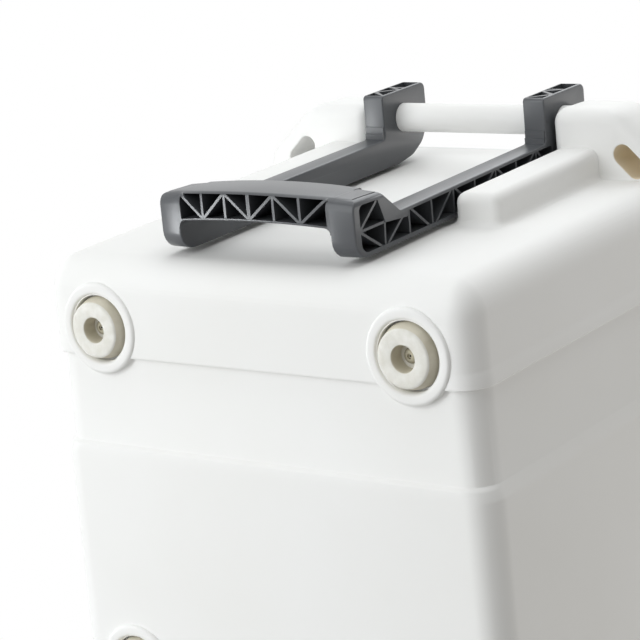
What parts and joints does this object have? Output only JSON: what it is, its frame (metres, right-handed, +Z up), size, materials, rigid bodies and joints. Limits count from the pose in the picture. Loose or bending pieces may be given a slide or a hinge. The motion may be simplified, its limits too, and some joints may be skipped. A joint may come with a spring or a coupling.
{
  "type": "wheeled cooler",
  "caption": "Insulated hard cooler with a hinged lid, rubber feet, two wheels at one end and a folding tow handle on a rod at the other.",
  "frame": {"origin": "centre of the overall bounding box at floor level", "axes": "+X towards the tow handle end, +Y towards the latch side, +Z up; the cooler stands on its feet and wheels"},
  "size_m": [0.7468, 0.5, 0.4562],
  "materials": {
    "white_plastic": "satin moulded, slightly milky",
    "liner_plastic": "smooth moulded",
    "foam": "rigid insulating foam",
    "dark_nylon": "satin glass-filled nylon",
    "foot_rubber": "mottled off-white rubber",
    "black_rubber": "matt",
    "tyre": "matt tread",
    "steel": "brushed"
  },
  "bodies": {
    "tub": {"body_shell": "white_plastic", "body_liner": "liner_plastic", "body_foam": "foam", "axle": "steel", "axle_sleeve": "dark_nylon", "wheel_washer_left": "steel", "wheel_washer_right": "steel", "pivot_rod": "white_plastic", "rod_plug": "white_plastic", "hinge_bracket_front": "white_plastic", "hinge_bracket_rear": "white_plastic", "hinge_pin_front": "steel", "hinge_pin_rear": "steel", "latch_keeper_front": "dark_nylon", "latch_keeper_rear": "dark_nylon", "drain_bush": "dark_nylon", "foot_front_left": "foot_rubber", "foot_front_right": "foot_rubber", "foot_rear_left": "foot_rubber", "foot_rear_right": "foot_rubber", "foot_screw_front_left": "steel", "foot_screw_front_right": "steel", "foot_screw_rear_left": "steel", "foot_screw_rear_right": "steel"},
    "handle": {"tow_handle": "dark_nylon"},
    "lid": {"lid_shell": "white_plastic", "lid_liner": "liner_plastic", "lid_foam": "foam", "lid_gasket": "black_rubber", "hinge_leaf_front": "white_plastic", "hinge_leaf_rear": "white_plastic", "latch_pin_front": "steel", "latch_pin_rear": "steel"},
    "latch_front": {"latch_front": "black_rubber"},
    "latch_rear": {"latch_rear": "black_rubber"},
    "wheel_left": {"wheel_hub_left": "dark_nylon", "tyre_left": "tyre", "wheel_cap_left": "dark_nylon"},
    "wheel_right": {"wheel_hub_right": "dark_nylon", "tyre_right": "tyre", "wheel_cap_right": "dark_nylon"},
    "drain_seal": {"drain_gasket": "black_rubber"},
    "drain_plug": {"drain_plug": "dark_nylon"}
  },
  "joints": [
    {"name": "tow_handle_swing", "type": "hinge", "parent": "tub", "child": "handle", "pos_m": [0.34734, -0.01198, 0.3357], "axis": [0, -1, 0], "range_deg": [0, 170]},
    {"name": "lid_hinge", "type": "hinge", "parent": "tub", "child": "lid", "pos_m": [-0.04116, -0.24251, 0.3997], "axis": [1, 0, 0], "range_deg": [0, 100]},
    {"name": "latch_front_swing", "type": "hinge", "parent": "lid", "child": "latch_front", "pos_m": [0.12384, 0.215, 0.4277], "axis": [1, 0, 0], "range_deg": [-14, 100]},
    {"name": "latch_rear_swing", "type": "hinge", "parent": "lid", "child": "latch_rear", "pos_m": [-0.19616, 0.21902, 0.4277], "axis": [1, 0, 0], "range_deg": [-14, 100]},
    {"name": "wheel_left_spin", "type": "hinge", "parent": "tub", "child": "wheel_left", "pos_m": [-0.27816, 0.17802, 0.078], "axis": [0, 1, 0], "continuous": true},
    {"name": "wheel_right_spin", "type": "hinge", "parent": "tub", "child": "wheel_right", "pos_m": [-0.27816, -0.20198, 0.078], "axis": [0, 1, 0], "continuous": true},
    {"name": "drain_plug_travel", "type": "slide", "parent": "tub", "child": "drain_seal", "axis": [0, -1, 0], "range_m": [0, 0.018]},
    {"name": "drain_plug_turn", "type": "hinge", "parent": "drain_seal", "child": "drain_plug", "pos_m": [-0.10616, -0.22676, 0.0652], "axis": [0, -1, 0], "range_deg": [0, 2165]}
  ],
  "couplings": [
    {"joint": "drain_plug_turn", "follows": "drain_plug_travel", "rad_per_m": 2094.4}
  ]
}
